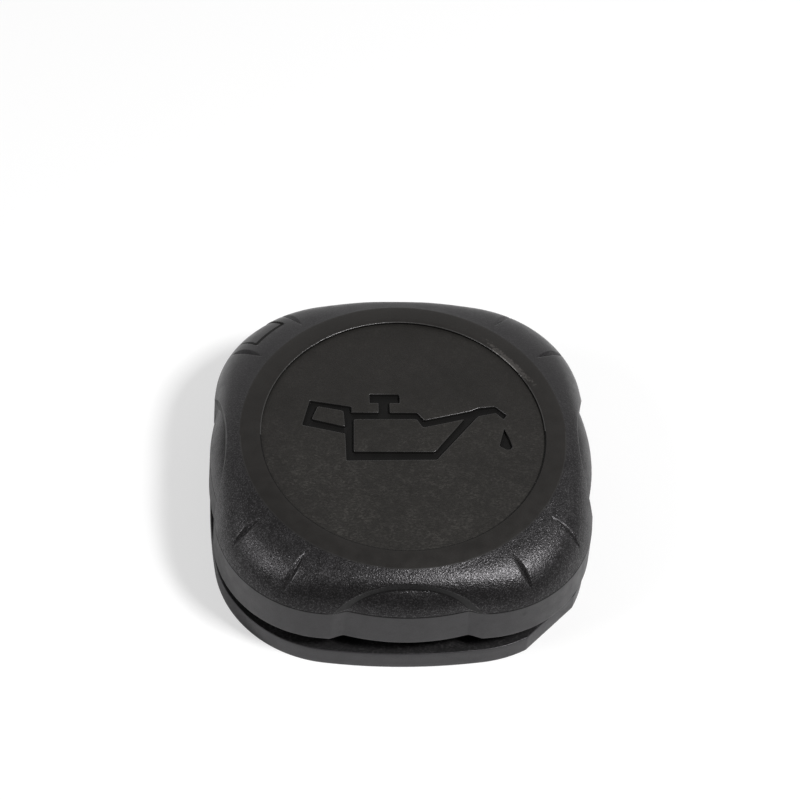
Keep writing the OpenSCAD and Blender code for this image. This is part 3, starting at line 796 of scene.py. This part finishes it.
def rib_under(turn):
    low, top = 0.03, plate_t - plate_skin + 0.4
    end = float(plate_edge(plate_rim)[np.argmin(np.abs(plate_columns - turn))]) + 0.8
    return prism("plate rib", [(sleeve_r - 0.5, low), (end, low), (end, top), (sleeve_r - 0.5, top)], rib_t)


def lug_mesh():
    rows = []
    for k in range(9):
        share = k / 8
        turns = [-lug_span / 2 + share * (math.degrees(math.asin(stop_y / r)) + lug_span / 2)
                 for r in (lug_r, root_r)]
        y = root_r * math.sin(math.radians(turns[1]))
        rows.append((turns, lug_h - (stop_y - y) * math.tan(math.radians(lug_slope))))
    start = [turn + 0.3 for turn in rows[-1][0]]
    for k in range(3):
        rows.append(([t + k / 2 * (lug_span / 2 - t) for t in start], lug_h + stop_h))
    grid, faces = [], []
    for turns, top in rows:
        (a, b) = (math.radians(t) for t in turns)
        for r, turn, z in ((lug_r, a, 0), (root_r, b, 0), (root_r, b, top), (lug_r, a, top)):
            grid.append((r * math.cos(turn), r * math.sin(turn), mouth_h + z))
    for k in range(len(rows) - 1):
        for i in range(4):
            n = (i + 1) % 4
            faces.append((4 * k + i, 4 * k + n, 4 * k + 4 + n, 4 * k + 4 + i))
    last = 4 * len(rows) - 4
    return block("bayonet lug", grid, faces + [(0, 1, 2, 3), (last + 3, last + 2, last + 1, last)])


def revolved(name, profile, around=96):
    n = len(profile)
    grid = [(r * math.cos(2 * math.pi * k / around), r * math.sin(2 * math.pi * k / around), z)
            for k in range(around) for r, z in profile]
    faces = [(k * n + i, k * n + (i + 1) % n, (k + 1) % around * n + (i + 1) % n, (k + 1) % around * n + i)
             for k in range(around) for i in range(n)]
    return block(name, grid, faces, 0.08)


root, tip, key_low, key_top = sleeve_r - 1, sleeve_r + snap_out, plate_t / 2, snap_z + snap_h / 2
wedge = [(root, snap_z), (tip, snap_z), (tip, snap_z + snap_h / 4), (root, snap_z + snap_h)]
key = [(root, key_low), (tip, key_low), (tip, key_top), (root, key_top)]
spigot_in, spigot_out, lip_out, lip_low, lip_top, spigot_top = 15.9, 17.9, 18.3, 12.8, 13.8, crown_z + 0.5
spigot = [(spigot_in, lip_low), (spigot_out, lip_low), (lip_out, lip_top), (spigot_out, lip_top),
          (spigot_out, spigot_top), (spigot_in, spigot_top)]
side = carrier_finishes["side"]
carrier = moulding("carrier_moulding", [
    mesh,
    turned(rib_under(15), 4, 15, 90, side, 0),
    turned(rib_under(75), 4, 75, 90, side, 0),
    turned(rib_under(45), 3, 45, 90, side, 0),
    turned(rib_under(315), 1, 315, 0, side, 0),
    turned(prism("snap wedge", wedge, snap_w), 4, 45, 90, side, 0),
    turned(prism("key", key, key_w), 4, 0, 90, side, 0),
    turned(lug_mesh(), 3, 90, 120, side, 0),
    turned(revolved("seal spigot", spigot), 1, 0, 0, side, 0)], carrier_finishes.values())
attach(carrier, "root")
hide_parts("carrier")

# The sealing ring is moulded rubber, held by a spigot in the closed end of the socket. It keeps its solid
# and takes a dull rubber finish.
seal_rubber = moulded_plastic("seal rubber", (0.018, 0.018, 0.018), 0.72, 0.5, 0.006)
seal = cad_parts["seal_ring"]
for slot in seal.material_slots:
    slot.material = seal_rubber

# The cap lies on a white sheet in a small photo tent. The main softbox stands to the right and a little in
# front, a weaker one to the left, and the tent is bright behind and dim above and on the camera's side.
floor_mesh = bpy.data.meshes.new("table")
floor_mesh.from_pydata([(-3, -3, 0), (3, -3, 0), (3, 3, 0), (-3, 3, 0)], [], [(0, 1, 2, 3)])
floor = bpy.data.objects.new("table", floor_mesh)
bpy.context.collection.objects.link(floor)
paper = bpy.data.materials.new("white sheet")
paper.use_nodes = True
nodes, link = paper.node_tree.nodes, paper.node_tree.links.new
nodes.clear()
out = nodes.new("ShaderNodeOutputMaterial")
rays = nodes.new("ShaderNodeLightPath")


def paper_layer(grey, glow):
    matte = nodes.new("ShaderNodeBsdfDiffuse")
    matte.inputs["Color"].default_value = (grey, grey, grey, 1)
    light = nodes.new("ShaderNodeEmission")
    light.inputs["Strength"].default_value = glow
    both = nodes.new("ShaderNodeAddShader")
    link(matte.outputs[0], both.inputs[0])
    link(light.outputs[0], both.inputs[1])
    return both.outputs[0]


def either(share, a, b):
    mix = nodes.new("ShaderNodeMixShader")
    link(share, mix.inputs[0])
    link(a, mix.inputs[1])
    link(b, mix.inputs[2])
    return mix.outputs[0]


def fade(value, low, high, to_low, to_high, kind="SMOOTHSTEP"):
    node = nodes.new("ShaderNodeMapRange")
    node.interpolation_type = kind
    link(value, node.inputs["Value"])
    for socket, number in (("From Min", low), ("From Max", high), ("To Min", to_low), ("To Max", to_high)):
        node.inputs[socket].default_value = number
    return node.outputs["Result"]


split = nodes.new("ShaderNodeSeparateXYZ")
link(nodes.new("ShaderNodeTexCoord").outputs["Object"], split.inputs[0])
# In reflections the sheet turns dark from 6 to 10 cm in front of the cap, painted shade for the dim camera side.
painted_front_shade_mask = fade(split.outputs["Y"], -0.10, -0.06, 0.0, 1.0, "LINEAR")
sheet_in_reflections = either(painted_front_shade_mask, paper_layer(0.05, 0.02), paper_layer(0.71, 0.085))
seen = either(rays.outputs["Is Camera Ray"], paper_layer(0.80, 0.0), paper_layer(0.50, 0.52))
link(either(rays.outputs["Is Glossy Ray"], seen, sheet_in_reflections), out.inputs["Surface"])
floor_mesh.materials.append(paper)

world = bpy.data.worlds.new("tent")
bpy.context.scene.world = world
world.use_nodes = True
nodes, link = world.node_tree.nodes, world.node_tree.links.new
toward = nodes.new("ShaderNodeSeparateXYZ")
link(nodes.new("ShaderNodeTexCoord").outputs["Generated"], toward.inputs[0])
low_light = nodes.new("ShaderNodeMath")
low_light.operation = "POWER"
low_light.inputs[1].default_value = 3.0
link(fade(toward.outputs["Y"], -0.4, 1.0, 0.25, 0.97, "LINEAR"), low_light.inputs[0])
tent = nodes.new("ShaderNodeMix")
link(fade(toward.outputs["Z"], 0.66, 0.78, 0.0, 1.0), tent.inputs["Factor"])
link(low_light.outputs[0], tent.inputs["A"])
link(fade(toward.outputs["Y"], -0.6, 0.6, 0.145, 0.155), tent.inputs["B"])
link(tent.outputs["Result"], nodes["Background"].inputs["Strength"])
nodes["Background"].inputs["Color"].default_value = (1, 1, 1, 1)


def softbox(name, place, width, height, watts):
    lamp = bpy.data.lights.new(name, "AREA")
    lamp.shape = "RECTANGLE"
    lamp.size, lamp.size_y = width, height
    lamp.energy = watts
    obj = bpy.data.objects.new(name, lamp)
    obj.location = place
    obj.rotation_euler = (Vector((0, 0, 0.012)) - Vector(place)).to_track_quat("-Z", "Y").to_euler()
    bpy.context.collection.objects.link(obj)


softbox("main light", (0.434, -0.305, 0.80), 0.18, 0.18, 7.9)
softbox("left light", (-0.76, -0.25, 0.60), 0.36, 0.36, 2.8)

yaw, pitch, roll = 0.103043, 0.911045, 0.084965
eye = (-0.0325580, -0.3034918, 0.4276704)
look = Vector((math.sin(yaw) * math.cos(pitch), math.cos(yaw) * math.cos(pitch), -math.sin(pitch)))
right = Vector((math.cos(yaw), -math.sin(yaw), 0))
up = right.cross(look)
right, up = (math.cos(roll) * right + math.sin(roll) * up, -math.sin(roll) * right + math.cos(roll) * up)
lens = bpy.data.cameras.new("camera")
lens.lens, lens.sensor_width, lens.sensor_fit = 122.3876, 36.0, "HORIZONTAL"
lens.clip_start, lens.clip_end = 0.01, 20
camera = bpy.data.objects.new("camera", lens)
camera.matrix_world = Matrix((
    (right.x, up.x, -look.x, eye[0]), (right.y, up.y, -look.y, eye[1]),
    (right.z, up.z, -look.z, eye[2]), (0, 0, 0, 1)))
bpy.context.collection.objects.link(camera)
bpy.context.scene.camera = camera
bpy.context.scene.view_settings.view_transform = "Standard"
